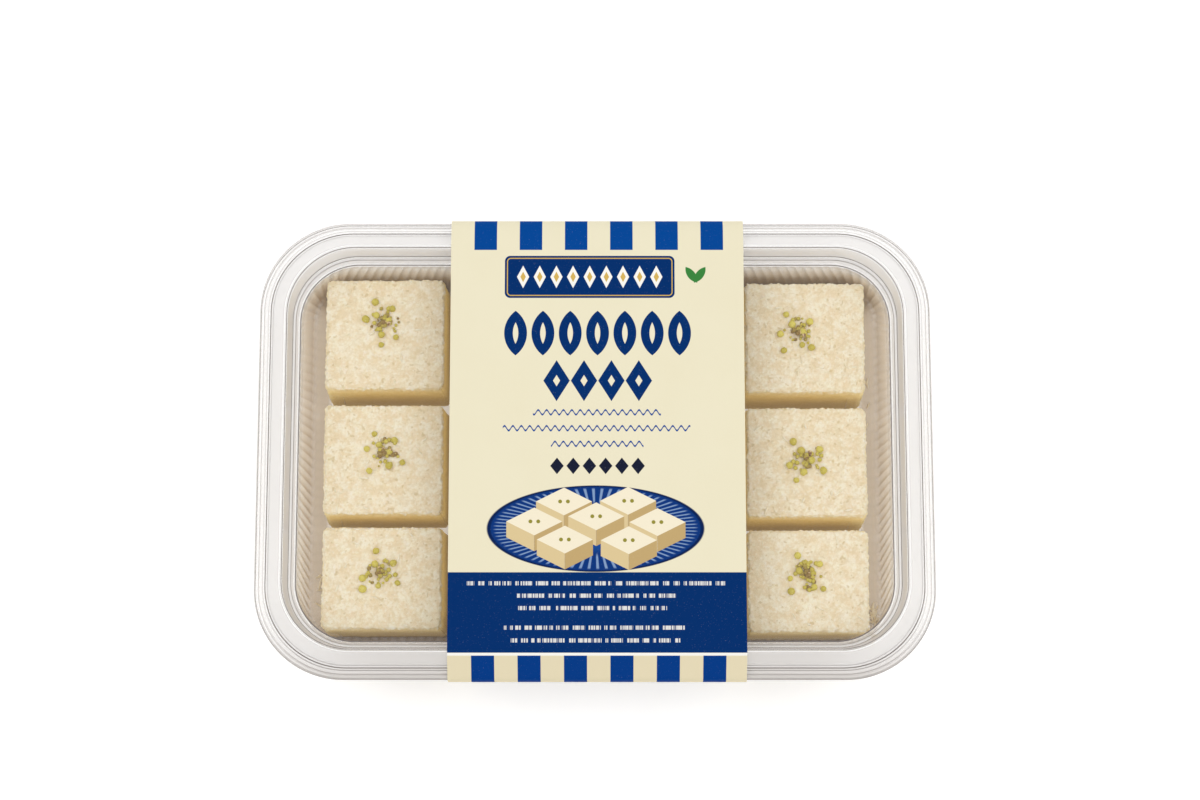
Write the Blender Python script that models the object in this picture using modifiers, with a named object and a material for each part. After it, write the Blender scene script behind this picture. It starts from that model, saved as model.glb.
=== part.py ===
"""A shut retail pack of barfi: a clear fluted tray, its clear lid, a card sleeve and twelve sweets.

Metres, +Z up. The origin is under the middle of the pack, on the surface it stands on. X runs along
the pack, and row 1 of the sweets is at the back, +Y.
"""
import math
import random

import bmesh
import bpy
from mathutils import Vector, noise

# The pack: the outline of its rim, seen from above
PACK_LENGTH = 0.2100
PACK_DEPTH = 0.1438
CORNER_RADIUS = 0.0280
CLEARANCE = 0.0003

# Heights of the stack, from the surface upwards
CARD = 0.0004
TRAY_SKIN = 0.0006
LID_SKIN = 0.0005
TRAY_UNDERSIDE = CARD + CLEARANCE
FLOOR = TRAY_UNDERSIDE + TRAY_SKIN
FLANGE = 0.0328
RIDGE = FLANGE + 0.0040
PANEL = FLANGE - 0.0060

# Rings of the tray, from its flange in to its floor: inset from the rim, height, corner radius, flute depth
FLUTE = 0.00035
TRAY_RINGS = (
    (0.0013, FLANGE - LID_SKIN - CLEARANCE, 0.0270, 0.0),
    (0.0086, FLANGE - LID_SKIN - CLEARANCE, 0.0215, 0.0),
    (0.0096, PANEL - 0.0002, 0.0207, 0.0),
    (0.0124, PANEL - 0.0016, 0.0182, FLUTE),
    (0.0142, FLOOR + 0.0022, 0.0108, FLUTE),
    (0.0160, FLOOR, 0.0090, 0.0),
)

# Rings of the lid, from its skirt in to its sunk panel
LID_RINGS = (
    (0.0000, FLANGE - 0.0030, CORNER_RADIUS, 0.0),
    (0.0003, FLANGE - 0.0004, CORNER_RADIUS - 0.0003, 0.0),
    (0.0010, FLANGE, CORNER_RADIUS - 0.0008, 0.0),
    (0.0040, FLANGE, 0.0250, 0.0),
    (0.0080, RIDGE, 0.0219, 0.0),
    (0.0092, RIDGE, 0.0210, 0.0),
    (0.0106, PANEL + 0.0022, 0.0199, 0.0),
    (0.0116, PANEL, 0.0191, 0.0),
)

# Ring steps: one corner's arc, one long side, one short side. The tray's make 102 flutes
ARC_STEPS = 8
TRAY_STEPS = (ARC_STEPS, 55, 31)
LID_STEPS = (ARC_STEPS, 1, 1)

# The sleeve: a band of card round the middle, taut over the ridge, the rim and the foot
SLEEVE_WIDTH = 0.0914
SLEEVE_OFFSET = 0.0007
SLEEVE_FOOT = 0.0575
SLEEVE_TOP = RIDGE + CLEARANCE
FRONT_CREASE = PACK_DEPTH / 2 - 0.0075
BACK_FOLD_START = 0.0625
BACK_FOLD_STEPS = 6

# The sweets: the top face of each is given by its left, right, front and back edges
SWEET_HEIGHT = 0.0226
SWEET_EDGE = 0.0024
SWEET_CUTS = 4
SWEET_DRAFT = math.radians(3.0)
SWEET_ROUGHNESS = 0.00030
LUMPS_PER_METRE = 260
LUMP_SHIFT = Vector((7.3, 0.0, 0.0))
COLUMN_EDGES = ((-0.0850, -0.0476), (-0.0414, -0.0036), (0.0034, 0.0412), (0.0474, 0.0851))
ROW_EDGES = ((0.0196, 0.0550), (-0.0200, 0.0146), (-0.0560, -0.0242))
HELD_UPRIGHT = (0.080, 0.050)
UNEVEN = 0.0005

# Pistachio crumbs in a loose star on each sweet
CRUMBS = 8
CRUMB_RADIUS = (0.00085, 0.00125)
CRUMB_SPREAD = 0.0078
CRUMB_SINK = 0.35
CRUMB_TURN = math.radians(137.5)

# Where each sweet's star lies, right of and behind the middle of its top, row by row from the back
STAR_PLACES = (
    ((-0.0005, 0.0041), (0.0006, 0.0018), (-0.0008, 0.0022), (-0.0020, 0.0017)),
    ((0.0004, 0.0021), (-0.0009, 0.0012), (0.0010, 0.0005), (0.0000, 0.0010)),
    ((-0.0005, 0.0018), (0.0007, 0.0015), (-0.0003, 0.0009), (0.0000, 0.0019)),
)

MATERIALS = {
    "clear_tray": ((0.86, 0.86, 0.84), 0.12, 0.35),
    "clear_lid": ((0.90, 0.90, 0.89), 0.10, 0.30),
    "printed_card": ((0.84, 0.79, 0.64), 0.45, 1.0),
    "barfi": ((0.83, 0.72, 0.52), 0.75, 1.0),
}


def clear_scene():
    """Remove whatever the open file holds, so that the part is alone in it."""
    for old in list(bpy.data.objects):
        bpy.data.objects.remove(old, do_unlink=True)


def make_material(name):
    """A Principled material with the colour, roughness and opacity listed for it."""
    color, roughness, alpha = MATERIALS[name]
    material = bpy.data.materials.new(name)
    material.use_nodes = True
    shader = material.node_tree.nodes["Principled BSDF"]
    shader.inputs["Base Color"].default_value = (*color, 1.0)
    shader.inputs["Roughness"].default_value = roughness
    shader.inputs["Metallic"].default_value = 0.0
    shader.inputs["Alpha"].default_value = alpha
    return material


def add_object(name, bm, collection, material):
    """Turn a bmesh into a named object of the part."""
    mesh = bpy.data.meshes.new(name)
    bm.to_mesh(mesh)
    bm.free()
    mesh.materials.append(material)
    new = bpy.data.objects.new(name, mesh)
    collection.objects.link(new)
    return new


def ring_points(inset, height, radius, flute, steps):
    """Points round a rounded rectangle that lies inset from the rim, with every second one pushed out."""
    arc_steps, long_steps, short_steps = steps
    half_x = PACK_LENGTH / 2 - inset
    half_y = PACK_DEPTH / 2 - inset
    plain = []
    for corner, side_steps in enumerate((long_steps, short_steps) * 2):
        sign_x = 1 if corner in (0, 3) else -1
        sign_y = 1 if corner in (0, 1) else -1
        centre = Vector((sign_x * (half_x - radius), sign_y * (half_y - radius), height))
        for step in range(arc_steps + 1):
            angle = math.pi / 2 * (corner + step / arc_steps)
            outward = Vector((math.cos(angle), math.sin(angle), 0.0))
            plain.append((centre + radius * outward, outward))
        last = plain[-1][0]
        run = 2 * (half_x - radius) if corner % 2 == 0 else 2 * (half_y - radius)
        along = Vector((-outward.y, outward.x, 0.0))
        for step in range(1, side_steps):
            plain.append((last + along * run * step / side_steps, outward))
    return [point + out * flute * (index % 2) for index, (point, out) in enumerate(plain)]


def lofted_shell(name, rings, steps, skin, collection, material):
    """An open skin bridged from ring to ring and closed inside the last, thickened away from the food."""
    bm = bmesh.new()
    loops = []
    for ring in rings:
        verts = [bm.verts.new(point) for point in ring_points(*ring, steps)]
        loops.append([bm.edges.new((verts[i - 1], verts[i])) for i in range(len(verts))])
    for outer, inner in zip(loops, loops[1:]):
        bmesh.ops.bridge_loops(bm, edges=outer + inner)
    bmesh.ops.contextual_create(bm, geom=loops[-1])
    bmesh.ops.recalc_face_normals(bm, faces=bm.faces)
    middle = min(bm.faces, key=lambda face: face.calc_center_median().xy.length)
    if middle.normal.z < 0:
        bmesh.ops.reverse_faces(bm, faces=bm.faces)
    shell = add_object(name, bm, collection, material)
    thicken = shell.modifiers.new("Skin", "SOLIDIFY")
    thicken.thickness = skin
    thicken.offset = -1.0
    thicken.use_even_offset = True
    return shell


def quadratic(start, control, end, steps):
    """Points of a quadratic curve, both ends included."""
    points = []
    for step in range(steps + 1):
        t = step / steps
        points.append(start * (1 - t) ** 2 + control * 2 * t * (1 - t) + end * t ** 2)
    return points


def sleeve_section():
    """The card's inner face in the YZ plane, from the front foot over the top and down to the back foot."""
    edge = PACK_DEPTH / 2 + CLEARANCE
    front = [
        Vector((-SLEEVE_FOOT, CARD)),
        Vector((-edge - 0.0001, FLANGE - 0.0032)),
        Vector((-edge, FLANGE + 0.0001)),
        Vector((-FRONT_CREASE, SLEEVE_TOP)),
    ]
    fold = quadratic(
        Vector((BACK_FOLD_START, SLEEVE_TOP)),
        Vector((edge - 0.0008, SLEEVE_TOP)),
        Vector((edge, FLANGE - 0.0008)),
        BACK_FOLD_STEPS,
    )
    back = [Vector((edge + 0.0001, FLANGE - 0.0032)), Vector((SLEEVE_FOOT, CARD))]
    return front + fold + back


def make_sleeve(collection, material):
    """A closed band of card: its section drawn once, extruded along X and thickened outwards."""
    bm = bmesh.new()
    left = SLEEVE_OFFSET - SLEEVE_WIDTH / 2
    verts = [bm.verts.new((left, point.x, point.y)) for point in sleeve_section()]
    edges = [bm.edges.new((verts[i - 1], verts[i])) for i in range(len(verts))]
    grown = bmesh.ops.extrude_edge_only(bm, edges=edges)["geom"]
    moved = [item for item in grown if isinstance(item, bmesh.types.BMVert)]
    bmesh.ops.translate(bm, verts=moved, vec=(SLEEVE_WIDTH, 0.0, 0.0))
    bmesh.ops.recalc_face_normals(bm, faces=bm.faces)
    top = max(bm.faces, key=lambda face: face.calc_center_median().z)
    if top.normal.z < 0:
        bmesh.ops.reverse_faces(bm, faces=bm.faces)
    sleeve = add_object("sleeve", bm, collection, material)
    thicken = sleeve.modifiers.new("Card", "SOLIDIFY")
    thicken.thickness = CARD
    thicken.offset = 1.0
    thicken.use_even_offset = True
    return sleeve


def crowd_to_edges(value, half, edge):
    """Move evenly spaced grid lines so that the outermost cells are as wide as the rounded edge."""
    outer_cell = 2 * half / (SWEET_CUTS + 1)
    inner_start = half - outer_cell
    if abs(value) <= inner_start + 1e-6:
        return value * (half - edge) / inner_start
    return math.copysign(half, value)


def round_off(point, half):
    """Pull a point of the box onto the rounded box of the same size."""
    core = Vector([max(-h + SWEET_EDGE, min(h - SWEET_EDGE, c)) for c, h in zip(point, half)])
    return core + (point - core).normalized() * SWEET_EDGE


def make_sweet(name, edges, star_place, seed, collection, material):
    """A hand-cut block: a cube, gridded, rounded at its edges, drafted on its cut sides and roughened."""
    left, right, front, back = edges
    draw = random.Random(seed)
    top = FLOOR + CLEARANCE + SWEET_HEIGHT + draw.uniform(-UNEVEN, UNEVEN)
    bottom = FLOOR + CLEARANCE
    half = Vector(((right - left) / 2, (back - front) / 2, (top - bottom) / 2))
    centre = Vector(((left + right) / 2, (front + back) / 2, (top + bottom) / 2))
    bm = bmesh.new()
    bmesh.ops.create_cube(bm, size=1.0)
    bmesh.ops.scale(bm, verts=bm.verts, vec=2 * half)
    bmesh.ops.subdivide_edges(bm, edges=bm.edges, cuts=SWEET_CUTS, use_grid_fill=True)
    for vert in bm.verts:
        spaced = Vector([crowd_to_edges(c, h, SWEET_EDGE) for c, h in zip(vert.co, half)])
        point = round_off(spaced, half)
        flare = math.tan(SWEET_DRAFT) * (half.z - point.z)
        for axis, wall in enumerate(HELD_UPRIGHT):
            if abs(centre[axis] + point[axis]) < wall:
                point[axis] += flare * point[axis] / half[axis]
        point += SWEET_ROUGHNESS * noise.noise_vector(point * LUMPS_PER_METRE + seed * LUMP_SHIFT)
        point.z = max(point.z, -half.z)
        vert.co = point + centre
    sweet = add_object(name, bm, collection, material)
    fuse_crumbs(sweet, centre.xy + Vector(star_place), top, draw)
    return sweet


def fuse_crumbs(sweet, star, top, draw):
    """Join a star of crumbs to the sweet's top by one union, so that the sweet stays one solid."""
    scatter = bpy.data.collections.new("crumbs")
    for index in range(CRUMBS):
        radius = draw.uniform(*CRUMB_RADIUS)
        angle = CRUMB_TURN * index + draw.uniform(-0.4, 0.4)
        reach = CRUMB_SPREAD * math.sqrt((index + 0.3) / CRUMBS)
        bm = bmesh.new()
        bmesh.ops.create_icosphere(bm, subdivisions=1, radius=radius)
        lift = top + radius * (1 - 2 * CRUMB_SINK)
        spot = (star.x + reach * math.cos(angle), star.y + reach * math.sin(angle), lift)
        bmesh.ops.translate(bm, verts=bm.verts, vec=spot)
        mesh = bpy.data.meshes.new("crumb")
        bm.to_mesh(mesh)
        bm.free()
        scatter.objects.link(bpy.data.objects.new("crumb", mesh))
    union = sweet.modifiers.new("Crumbs", "BOOLEAN")
    union.operation = "UNION"
    union.operand_type = "COLLECTION"
    union.collection = scatter
    union.solver = "EXACT"
    graph = bpy.context.evaluated_depsgraph_get()
    joined = bpy.data.meshes.new_from_object(sweet.evaluated_get(graph))
    sweet.modifiers.clear()
    sweet.data = joined
    for crumb in list(scatter.objects):
        bpy.data.objects.remove(crumb, do_unlink=True)
    bpy.data.collections.remove(scatter)


def main():
    clear_scene()
    pack = bpy.data.collections.new("barfi_pack")
    bpy.context.scene.collection.children.link(pack)
    materials = {name: make_material(name) for name in MATERIALS}
    lofted_shell("tray", TRAY_RINGS, TRAY_STEPS, TRAY_SKIN, pack, materials["clear_tray"])
    lofted_shell("lid", LID_RINGS, LID_STEPS, LID_SKIN, pack, materials["clear_lid"])
    make_sleeve(pack, materials["printed_card"])
    for row, (front, back) in enumerate(ROW_EDGES, 1):
        for column, (left, right) in enumerate(COLUMN_EDGES, 1):
            name = f"barfi_r{row}_c{column}"
            edges = (left, right, front, back)
            star_place = STAR_PLACES[row - 1][column - 1]
            make_sweet(name, edges, star_place, 10 * row + column, pack, materials["barfi"])


main()
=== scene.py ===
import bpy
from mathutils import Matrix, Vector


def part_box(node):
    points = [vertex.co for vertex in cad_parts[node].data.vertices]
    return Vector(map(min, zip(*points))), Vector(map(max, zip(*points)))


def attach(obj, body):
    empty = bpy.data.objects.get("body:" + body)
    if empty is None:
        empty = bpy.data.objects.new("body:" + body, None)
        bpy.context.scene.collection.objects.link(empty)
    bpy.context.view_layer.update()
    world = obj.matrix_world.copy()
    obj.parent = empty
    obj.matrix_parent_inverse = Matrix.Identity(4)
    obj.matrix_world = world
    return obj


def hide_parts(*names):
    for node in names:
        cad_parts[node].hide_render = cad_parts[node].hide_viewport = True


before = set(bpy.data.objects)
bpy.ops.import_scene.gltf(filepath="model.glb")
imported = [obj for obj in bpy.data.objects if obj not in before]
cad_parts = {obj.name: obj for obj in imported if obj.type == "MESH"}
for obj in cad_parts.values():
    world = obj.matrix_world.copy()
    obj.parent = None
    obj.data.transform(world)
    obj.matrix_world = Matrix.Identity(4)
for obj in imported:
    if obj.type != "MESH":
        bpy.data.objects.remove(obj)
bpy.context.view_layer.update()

import math
import random

import bmesh
import bpy
import numpy as np
from mathutils import Vector

# Camera: almost overhead, from the side on which the label reads upright.
# Its place was fitted to the pack's outline, with the pack at its real size.
MM = 0.001
RIDGE_HEIGHT = 4.0
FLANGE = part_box("lid")[1].z - RIDGE_HEIGHT * MM
CAMERA_ELEVATION = math.radians(80.0)
CAMERA_DISTANCE = 0.866
CAMERA_SIDE = 1.56 * MM
CAMERA_AIM = Vector((CAMERA_SIDE, 15.06 * MM, FLANGE))
FOCAL_PIXELS = 2790.6
PICTURE_WIDTH = 1200

camera_data = bpy.data.cameras.new("camera")
camera_data.sensor_width = 36.0
camera_data.lens = FOCAL_PIXELS / PICTURE_WIDTH * camera_data.sensor_width
camera_data.clip_start = 0.01
camera_data.clip_end = 20.0
camera = bpy.data.objects.new("camera", camera_data)
away = Vector((0.0, -math.cos(CAMERA_ELEVATION), math.sin(CAMERA_ELEVATION)))
camera.location = Vector((CAMERA_SIDE, 0.0, FLANGE)) + CAMERA_DISTANCE * away
camera.rotation_euler = (CAMERA_AIM - camera.location).to_track_quat("-Z", "Y").to_euler()
bpy.context.scene.collection.objects.link(camera)
bpy.context.scene.camera = camera

# Studio: a white table between a softbox on each side and a weaker one in front.
# The sky is white overhead and greyer towards the horizon, which draws the bends of clear plastic.
FLOOR_HALF = 3.0
SOFTBOXES = (
    # place, width, power in watts, colour
    ((-0.85, 0.30, 1.00), 0.75, 3.0, (1.0, 0.985, 0.965)),
    ((0.90, 0.20, 1.00), 0.75, 3.2, (1.0, 0.99, 0.975)),
    ((0.10, -1.05, 0.95), 0.70, 1.6, (1.0, 0.985, 0.965)),
)
SKY_STOPS = (
    (0.00, (0.32, 0.32, 0.32, 1.0)),
    (0.50, (0.34, 0.34, 0.34, 1.0)),
    (0.68, (0.57, 0.57, 0.57, 1.0)),
    (0.88, (0.76, 0.76, 0.76, 1.0)),
    (1.00, (0.97, 0.97, 0.97, 1.0)),
)


class Field:
    """A value or colour that varies over a surface. Each arithmetic operator adds a Math node."""

    def __init__(self, tree, socket=None):
        self.tree = tree
        self.socket = socket

    def node(self, kind, settings=None, inputs=None, output=0):
        """Any other node: its type, its settings, set first, and the values or links of its sockets."""
        made = self.tree.nodes.new("ShaderNode" + kind)
        for key, value in (settings or {}).items():
            if key == "stops":
                ramp = made.color_ramp
                while len(ramp.elements) < len(value):
                    ramp.elements.new(1.0)
                for element, (position, color) in zip(ramp.elements, value):
                    element.position = position
                    element.color = color
            else:
                setattr(made, key, value)
        for key, value in (inputs or {}).items():
            if isinstance(value, Field):
                self.tree.links.new(value.socket, made.inputs[key])
            else:
                made.inputs[key].default_value = value
        return Field(self.tree, made.outputs[output] if len(made.outputs) else None)

    def math(self, operation, *values):
        return self.node("Math", {"operation": operation}, dict(enumerate(values)))

    def __add__(self, other):
        return self.math("ADD", self, other)

    def __sub__(self, other):
        return self.math("SUBTRACT", self, other)

    def __rsub__(self, other):
        return self.math("SUBTRACT", other, self)

    def __mul__(self, other):
        return self.math("MULTIPLY", self, other)

    def __truediv__(self, other):
        return self.math("DIVIDE", self, other)

    def __pow__(self, other):
        return self.math("POWER", self, other)

    def __mod__(self, other):
        return self.math("FLOORED_MODULO", self, other)

    def __abs__(self):
        return self.math("ABSOLUTE", self)

    __radd__ = __add__
    __rmul__ = __mul__

    def at_most(self, other):
        return self.math("MINIMUM", self, other)

    def at_least(self, other):
        return self.math("MAXIMUM", self, other)

    def rises(self, low, high):
        """0 below low, 1 above high, and a smooth step between them."""
        settings = {"interpolation_type": "SMOOTHSTEP"}
        return self.node("MapRange", settings, {0: self, 1: low, 2: high, 3: 0.0, 4: 1.0})

    def split(self):
        """The X, Y and Z of a vector."""
        axes = self.node("SeparateXYZ", None, {0: self}).socket.node.outputs
        return [Field(self.tree, axis) for axis in axes]

    def blend(self, first, second):
        """The colour that goes from first, where this mask is 0, to second, where it is 1."""
        return self.node("Mix", {"data_type": "RGBA"}, {0: self, 6: first, 7: second}, output=2)

    def mottle(self, per_metre, detail=4.0, roughness=0.55):
        """Cloudy noise from 0 to 1, read at this vector, with so many cells a metre."""
        values = {"Vector": self, "Scale": per_metre, "Detail": detail, "Roughness": roughness}
        return self.node("TexNoise", None, values)


def rgb(red, green, blue):
    """A display colour, 0 to 255 a channel, as the linear colour that the shaders work in."""
    share = np.array([red, green, blue]) / 255
    linear = np.where(share <= 0.04045, share / 12.92, ((share + 0.055) / 1.055) ** 2.4)
    return (*[float(channel) for channel in linear], 1.0)


def new_finish(name):
    """An empty material, and the Field that its nodes are made from."""
    material = bpy.data.materials.new(name)
    material.use_nodes = True
    material.node_tree.nodes.clear()
    return material, Field(material.node_tree)


def new_piece(name, verts, faces, finish):
    """A smooth-shaded piece from an array of points and a list or array of faces, placed by its mesh."""
    mesh = bpy.data.meshes.new(name)
    mesh.from_pydata(verts.tolist(), [], faces if isinstance(faces, list) else faces.tolist())
    mesh.materials.append(finish)
    mesh.shade_smooth()
    piece = bpy.data.objects.new(name, mesh)
    bpy.context.scene.collection.objects.link(piece)
    return piece


sky = bpy.data.worlds.new("sky")
sky.use_nodes = True
sky.node_tree.nodes.clear()
air = Field(sky.node_tree)
height = air.node("TexCoord", output=0).split()[2] * 0.5 + 0.5
sky_color = air.node("ValToRGB", {"stops": SKY_STOPS}, {0: height})
air.node("OutputWorld", None, {0: air.node("Background", None, {0: sky_color, 1: 1.0})})
bpy.context.scene.world = sky
bpy.context.scene.view_settings.view_transform = "Standard"

for number, (place, width, power, color) in enumerate(SOFTBOXES):
    lamp_data = bpy.data.lights.new(f"softbox_{number}", "AREA")
    lamp_data.size = width
    lamp_data.energy = power
    lamp_data.color = color
    lamp = bpy.data.objects.new(f"softbox_{number}", lamp_data)
    lamp.location = place
    lamp.rotation_euler = (-Vector(place)).to_track_quat("-Z", "Y").to_euler()
    bpy.context.scene.collection.objects.link(lamp)

table_finish, root = new_finish("white_table")
grain = root.node("TexCoord", output=3).mottle(40, 2.0)
table_color = grain.blend(rgb(248, 248, 248), rgb(251, 251, 251))
shader = root.node("BsdfPrincipled", None, {
    "Base Color": table_color, "Roughness": 0.6, "Specular IOR Level": 0.2,
    "Emission Color": (1, 1, 1, 1), "Emission Strength": 0.30,
})
root.node("OutputMaterial", None, {0: shader})
corners = np.array([(-1, -1, 0), (1, -1, 0), (1, 1, 0), (-1, 1, 0)]) * FLOOR_HALF
table = new_piece("table", corners, [(0, 1, 2, 3)], table_finish)

# Tray: thin clear plastic, drawn down from a flat sheet. Its flange carries the lid, its walls are fluted
# for stiffness with 204 flutes round the pack, and its flat floor carries the sweets.
TRAY_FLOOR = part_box("tray")[0].z + 0.6 * MM
HALF_LENGTH = (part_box("lid")[1].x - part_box("lid")[0].x) / 2
HALF_DEPTH = (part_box("lid")[1].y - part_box("lid")[0].y) / 2
FLUTES = (8, 55, 31)
STATIONS_PER_FLUTE = 6
FLUTE_DEPTH = 0.38
FLUTE_MIDDLE = 0.6
CLOSING_STEPS = (0.8, 0.55, 0.3, 0.12)
WALL_TOP = 8
WALL_TALL = 20
# painted shade: how much darker the flutes' hollows are painted, all round and at the front, and how much the
# back wall's foot is
RIB_SHADE = 0.08
FRONT_RIB_SHADE = 0.5
BACK_SHADE = 0.72
TRAY_PROFILE = (
    # inset from the rim, height above the flange and corner radius, in mm; share of a full flute; line (under
    # 0 a painted highlight, over 0 a painted dark line); cloudiness; shade (1 the walls' painted reflection
    # of the sweets' tan, 2 the foot's painted brown shade); the painted shade that the front adds
    (1.60, -2.60, 26.7, 0.0, 0.0, 0.10, 0.0, 0.0),
    (1.25, -2.50, 27.0, 0.0, 0.4, 0.10, 0.0, 0.0),
    (1.25, -1.00, 27.0, 0.0, 0.2, 0.10, 0.0, 0.0),
    (1.75, -0.80, 26.6, 0.0, 0.0, 0.08, 0.0, 0.0),
    (8.50, -0.80, 21.5, 0.0, 0.0, 0.08, 0.0, 0.0),
    (8.80, -1.20, 21.3, 0.0, 0.2, 0.10, 0.0, 0.0),
    (9.60, -6.20, 20.7, 0.0, 0.0, 0.10, 0.0, 0.0),
    (9.90, -6.60, 20.5, 0.0, 0.4, 0.10, 0.0, 0.0),
    (12.20, -7.35, 18.4, 0.0, 0.0, 0.12, 0.05, 0.0),
    (12.45, -7.70, 18.0, 0.3, 0.4, 0.16, 0.25, 0.3),
    (12.60, -9.00, 17.6, 1.0, 0.0, 0.16, 0.40, 0.9),
    (13.40, -18.5, 14.2, 1.0, 0.0, 0.18, 0.90, 0.8),
    (14.10, -27.6, 11.2, 1.0, 0.0, 0.24, 1.0, 0.6),
    (14.40, -29.6, 10.4, 1.0, 0.0, 0.52, 1.0, 0.5),
    (15.20, -31.1, 9.6, 0.9, 0.0, 0.70, 1.0, 0.5),
    (16.40, -31.5, 8.6, 0.7, 0.0, 0.76, 1.05, 0.5),
    (18.80, -31.5, 6.8, 0.5, 0.0, 0.76, 1.1, 0.5),
    (21.00, -31.5, 5.0, 0.0, 0.0, 0.06, 0.5, 0.0),
)
BEND_POINTS = 4
TRAY_BEND = 0.22


def round_bends(profile, cut, steps):
    """A profile with each bend replaced by the quadratic curve between the points that lie `cut` before and
    after it. The bend's line is strongest in the middle of the curve, by a parabola."""
    rows = [profile[0]]
    for before, bend, after in zip(profile, profile[1:], profile[2:]):
        back, ahead = before - bend, after - bend
        start = bend + back * min(cut / np.hypot(*back[:2]), 0.45)
        end = bend + ahead * min(cut / np.hypot(*ahead[:2]), 0.45)
        t = np.linspace(0, 1, steps)[:, None]
        curve = (1 - t) ** 2 * start + 2 * t * (1 - t) * bend + t**2 * end
        curve[:, 4] = bend[4] * (1 - (2 * t[:, 0] - 1) ** 2)
        rows.extend(curve)
    rows.append(profile[-1])
    return np.array(rows)


def formed_sheet(name, profile, flutes, finish):
    """A sheet of rounded rectangles, one for each row of the profile, closed at its middle.

    A point is its corner's centre, plus its share of the way to the next centre, plus the corner radius and
    the flute's bulge along the outward direction; the bulge is |sin| of the station's place in its flute.
    The last row shrinks in steps to one point in the middle. A point's line, cloud and shade grow with the
    square of its outward direction's part towards the front, and on the back wall with its depth: this is
    painted shade, as is the darkening of the flutes' hollows.
    """
    arc, long, short = [count * STATIONS_PER_FLUTE for count in flutes]
    sides = (long, short, long, short)
    corner = np.concatenate([np.full(arc + side, k) for k, side in enumerate(sides)])
    turn = np.concatenate([np.r_[np.arange(arc) / arc, np.ones(side)] for side in sides])
    share = np.concatenate([np.r_[np.zeros(arc), np.arange(side) / side] for side in sides])
    angle = (corner + turn) * math.pi / 2
    outward = np.stack([np.cos(angle), np.sin(angle)], axis=-1)
    bulge = np.abs(np.sin(np.pi * np.arange(len(corner)) / STATIONS_PER_FLUTE))
    signs = np.array([(1, 1), (-1, 1), (-1, -1), (1, -1)])
    columns = [column[:, None] for column in profile.T]
    inset, height, radius, flute, line, cloud, shade, front = columns
    inner = inset * MM + radius * MM
    half = np.stack([HALF_LENGTH - inner, HALF_DEPTH - inner], axis=-1)
    start, following = half * signs[corner], half * signs[(corner + 1) % 4]
    reach = (radius + flute * FLUTE_DEPTH * bulge) * MM
    flat = start + share[:, None] * (following - start) + reach[..., None] * outward
    tall = np.broadcast_to(FLANGE + height * MM, flat.shape[:2])
    rings = np.dstack([flat, tall])
    inward = np.array(CLOSING_STEPS)[:, None, None] * (1, 1, 0) + np.array([0, 0, 1])
    rings = np.concatenate([rings, rings[-1] * inward])
    count = len(corner)
    verts = np.concatenate([rings.reshape(-1, 3), [(0, 0, rings[-1, 0, 2])]])
    row, station = np.mgrid[0 : len(rings) - 1, 0:count]
    beside = (station + 1) % count
    quads = np.stack([row * count + station, row * count + beside,
                      (row + 1) * count + beside, (row + 1) * count + station], axis=-1)
    rim = (len(rings) - 1) * count + np.arange(count)
    fan = np.stack([rim, np.roll(rim, -1), np.full(count, len(verts) - 1)], axis=-1)
    piece = new_piece(name, verts, quads.reshape(-1, 4).tolist() + fan.tolist(), finish)
    # painted shade: the rows darken on the front side, and the back wall browns towards its foot
    front = front * np.clip(-outward[:, 1], 0, 1) ** 2
    behind = np.clip(outward[:, 1], 0, 1) ** 2
    depth = np.clip(-(height + WALL_TOP) / WALL_TALL, 0, 1)
    lee = BACK_SHADE * behind * depth
    # painted shade in the flutes' hollows, stronger at the front wall's foot
    painted_rib_shade = RIB_SHADE * (1 - 0.8 * behind) + FRONT_RIB_SHADE * front * (depth > 0)
    shade = shade + front + lee + flute * painted_rib_shade * (FLUTE_MIDDLE - bulge)
    cloud = cloud + front / 2 + lee
    line = line * (1 + front)
    for title, rows in (("line", line), ("cloud", cloud), ("shade", shade)):
        values = np.full(len(verts), rows[-1, 0])
        values[: len(rows) * count] = np.broadcast_to(rows, (len(rows), count)).ravel()
        piece.data.attributes.new(title, "FLOAT", "POINT").data.foreach_set("value", values)
    return piece


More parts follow.
